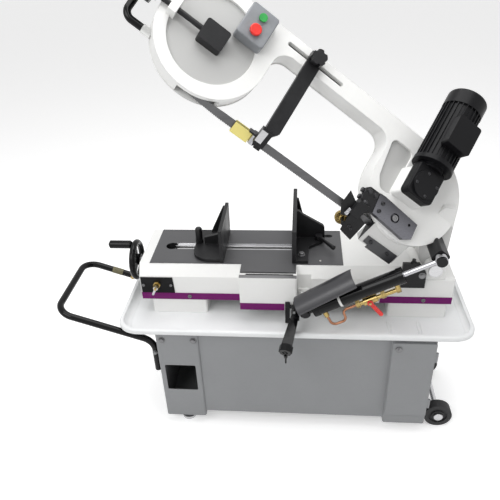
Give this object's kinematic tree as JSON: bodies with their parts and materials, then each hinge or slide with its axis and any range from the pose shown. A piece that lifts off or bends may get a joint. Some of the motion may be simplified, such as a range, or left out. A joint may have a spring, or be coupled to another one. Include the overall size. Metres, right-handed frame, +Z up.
{
  "type": "metal-cutting band saw",
  "caption": "Metal-cutting band saw on a cabinet stand, with a pivoting saw bow, tilted band wheels, screw vise, hydraulic down-feed and chip tray.",
  "frame": {"origin": "on the floor, at the middle of the bounding box's bottom face", "axes": "+Z up, +X along the lowered blade to the drive end, +Y from the operator's side to the back"},
  "size_m": [1.435, 0.5968, 1.5429],
  "materials": {
    "casting_white": "smooth off-white enamel on castings",
    "tray_grey": "light grey satin paint on sheet",
    "stand_grey": "mid grey satin paint on sheet",
    "stripe_purple": "purple gloss trim",
    "black_gloss": "black gloss paint",
    "black_paint": "black satin paint",
    "black_plastic": "black moulded plastic",
    "jaw_black": "satin black casting",
    "table_grey": "machined dark grey face",
    "wheel_iron": "turned iron",
    "steel": "ground steel",
    "blade_steel": "blade strip",
    "chrome": "polished chrome",
    "brass": "machined brass",
    "copper": "drawn copper",
    "lever_red": "red gloss",
    "button_green": "green gloss",
    "guard_grey": "dark grey painted sheet",
    "guard_yellow": "yellow painted sheet",
    "rubber_black": "black rubber",
    "switch_grey": "grey moulded case"
  },
  "bodies": {
    "stand": {"stand_left_leg": "stand_grey", "stand_right_leg": "stand_grey", "stand_panels": "stand_grey", "chip_tray": "tray_grey", "levelling_feet": "steel", "roller_axle": "steel", "transport_handle": "black_gloss", "base_feet": "casting_white", "base_casting": "casting_white", "vise_table": "table_grey", "trim_stripes": "stripe_purple", "tap_plate": "black_paint", "coolant_tap": "brass", "lever_fork": "jaw_black", "cylinder_bracket": "casting_white", "cylinder_guard": "guard_grey", "bow_stop": "jaw_black", "pivot_shaft": "steel"},
    "bow": {"bow_casting": "casting_white", "gearbox": "black_paint", "motor": "black_paint", "saw_blade": "blade_steel", "guard_plate": "jaw_black", "guide_bar": "steel", "fixed_guide": "jaw_black", "brush_bracket": "jaw_black", "bow_handle": "black_gloss", "rod_bracket": "jaw_black", "switch_box": "switch_grey"},
    "guide_arm": {"guide_arm": "jaw_black", "arm_guard": "guard_yellow"},
    "lead_screw": {"lead_screw": "steel", "handwheel": "black_gloss"},
    "cylinder": {"hydraulic_cylinder": "black_gloss", "feed_valve": "brass", "oil_pipe": "copper"},
    "arm_knob": {"arm_knob": "black_plastic"},
    "clamp_lever": {"clamp_lever": "black_gloss"},
    "crank_grip": {"crank_grip": "black_plastic"},
    "door_lock": {"door_lock": "steel"},
    "drive_wheel": {"drive_wheel": "wheel_iron"},
    "fixed_jaw": {"fixed_jaw": "jaw_black"},
    "idler_wheel": {"idler_wheel": "wheel_iron"},
    "jaw_clamp": {"jaw_clamp": "black_plastic"},
    "movable_jaw": {"movable_jaw": "jaw_black"},
    "piston_rod": {"piston_rod": "chrome"},
    "rear_cover": {"rear_cover": "casting_white"},
    "roller_back": {"roller_back": "rubber_black"},
    "roller_front": {"roller_front": "rubber_black"},
    "stand_door": {"stand_door": "stand_grey"},
    "start_button": {"start_button": "button_green"},
    "stop_button": {"stop_button": "lever_red"},
    "swivel_clamp_front": {"swivel_clamp_front": "black_plastic"},
    "swivel_clamp_rear": {"swivel_clamp_rear": "black_plastic"},
    "tap_lever": {"tap_lever": "chrome"},
    "tension_knob": {"tension_knob": "black_plastic"},
    "tension_slide": {"tension_slide": "jaw_black"},
    "valve_lever": {"valve_lever": "lever_red"},
    "wire_brush": {"wire_brush": "brass"}
  },
  "joints": [
    {"name": "bow_pivot", "type": "hinge", "parent": "stand", "child": "bow", "pos_m": [0.5795, -0.09261, 0.641], "axis": [0, 1, 0], "range_deg": [-38.19, 5]},
    {"name": "drive_spin", "type": "hinge", "parent": "bow", "child": "drive_wheel", "pos_m": [0.47515, 0.00429, 0.88083], "axis": [0.3974, -0.766, 0.5052], "continuous": true},
    {"name": "idler_spin", "type": "hinge", "parent": "tension_slide", "child": "idler_wheel", "pos_m": [-0.12722, 0.00429, 1.35468], "axis": [0.3974, -0.766, 0.5052], "continuous": true},
    {"name": "brush_spin", "type": "hinge", "parent": "bow", "child": "wire_brush", "pos_m": [0.26298, -0.09261, 0.85373], "axis": [0, 1, 0], "continuous": true},
    {"name": "tension_turn", "type": "hinge", "parent": "bow", "child": "tension_knob", "pos_m": [-0.23277, -0.03708, 1.48187], "axis": [0.786, 0, -0.6183], "range_deg": [0, 2160]},
    {"name": "tension_travel", "type": "slide", "parent": "bow", "child": "tension_slide", "axis": [0.786, 0, -0.6183], "range_m": [0, 0.012]},
    {"name": "cover_swing", "type": "hinge", "parent": "bow", "child": "rear_cover", "pos_m": [0.36748, 0.13244, 1.11273], "axis": [0.786, 0, -0.6183], "range_deg": [0, 105]},
    {"name": "arm_slide", "type": "slide", "parent": "bow", "child": "guide_arm", "axis": [0.786, 0, -0.6183], "range_m": [-0.08, 0.1]},
    {"name": "arm_knob_turn", "type": "hinge", "parent": "guide_arm", "child": "arm_knob", "pos_m": [0.17686, 0.04382, 1.29418], "axis": [0.3974, -0.766, 0.5052], "range_deg": [-180, 180]},
    {"name": "start_press", "type": "slide", "parent": "bow", "child": "start_button", "axis": [-0.3974, 0.766, -0.5052], "range_m": [0, 0.004], "stiffness_N_per_m": 600},
    {"name": "stop_press", "type": "slide", "parent": "bow", "child": "stop_button", "axis": [-0.3974, 0.766, -0.5052], "range_m": [0, 0.004], "stiffness_N_per_m": 600},
    {"name": "jaw_screw", "type": "hinge", "parent": "stand", "child": "lead_screw", "pos_m": [0.1095, 0.07539, 0.58], "axis": [1, 0, 0], "range_deg": [-2880, 7920]},
    {"name": "jaw_travel", "type": "slide", "parent": "stand", "child": "movable_jaw", "axis": [1, 0, 0], "range_m": [-0.0801, 0.2201]},
    {"name": "grip_spin", "type": "hinge", "parent": "lead_screw", "child": "crank_grip", "pos_m": [-0.4665, 0.07539, 0.644], "axis": [1, 0, 0], "continuous": true},
    {"name": "jaw_clamp_turn", "type": "hinge", "parent": "movable_jaw", "child": "jaw_clamp", "pos_m": [-0.2265, 0.08639, 0.64], "axis": [0, 0, 1], "range_deg": [-60, 60]},
    {"name": "jaw_swivel", "type": "hinge", "parent": "stand", "child": "fixed_jaw", "pos_m": [0.1395, -0.01161, 0.64], "axis": [0, 0, -1], "range_deg": [0, 30]},
    {"name": "rear_clamp_turn", "type": "hinge", "parent": "fixed_jaw", "child": "swivel_clamp_rear", "pos_m": [0.1995, 0.15489, 0.64], "axis": [0, 0, 1], "range_deg": [-35, 45]},
    {"name": "front_clamp_turn", "type": "hinge", "parent": "fixed_jaw", "child": "swivel_clamp_front", "pos_m": [0.2025, 0.11039, 0.64], "axis": [0, 0, 1], "range_deg": [-20, 60]},
    {"name": "clamp_swing", "type": "hinge", "parent": "stand", "child": "clamp_lever", "pos_m": [0.1225, -0.12961, 0.528], "axis": [1, 0, 0], "range_deg": [-35, 12]},
    {"name": "door_swing", "type": "hinge", "parent": "stand", "child": "stand_door", "pos_m": [0.596, -0.18641, 0.3], "axis": [0, 0, 1], "range_deg": [0, 110]},
    {"name": "lock_turn", "type": "hinge", "parent": "stand_door", "child": "door_lock", "pos_m": [0.4675, -0.18191, 0.407], "axis": [0, 1, 0], "range_deg": [0, 90]},
    {"name": "roller_front_spin", "type": "hinge", "parent": "stand", "child": "roller_front", "pos_m": [0.6505, -0.11361, 0.05], "axis": [0, 1, 0], "continuous": true},
    {"name": "roller_back_spin", "type": "hinge", "parent": "stand", "child": "roller_back", "pos_m": [0.6505, 0.15839, 0.05], "axis": [0, 1, 0], "continuous": true},
    {"name": "tap_turn", "type": "hinge", "parent": "stand", "child": "tap_lever", "pos_m": [-0.3605, -0.06561, 0.568], "axis": [0, 1, 0], "range_deg": [0, 90]},
    {"name": "cylinder_swing", "type": "hinge", "parent": "stand", "child": "cylinder", "pos_m": [0.1555, -0.16361, 0.535], "axis": [0, 1, 0], "range_deg": [-1, 0.5]},
    {"name": "rod_travel", "type": "slide", "parent": "cylinder", "child": "piston_rod", "axis": [0.8891, 0, 0.4577], "range_m": [-0.072, 0.012]},
    {"name": "valve_turn", "type": "hinge", "parent": "cylinder", "child": "valve_lever", "pos_m": [0.36103, -0.16361, 0.5902], "axis": [0, 1, 0], "range_deg": [-45, 45]}
  ],
  "couplings": [
    {"joint": "idler_spin", "follows": "drive_spin", "ratio": 1},
    {"joint": "brush_spin", "follows": "drive_spin", "ratio": -4},
    {"joint": "tension_turn", "follows": "tension_travel", "rad_per_m": 3141.6},
    {"joint": "jaw_travel", "follows": "jaw_screw", "m_per_rad": 0.0015915},
    {"joint": "cylinder_swing", "follows": "bow_pivot", "ratio": 0.01475},
    {"joint": "rod_travel", "follows": "bow_pivot", "m_per_rad": 0.10325}
  ]
}
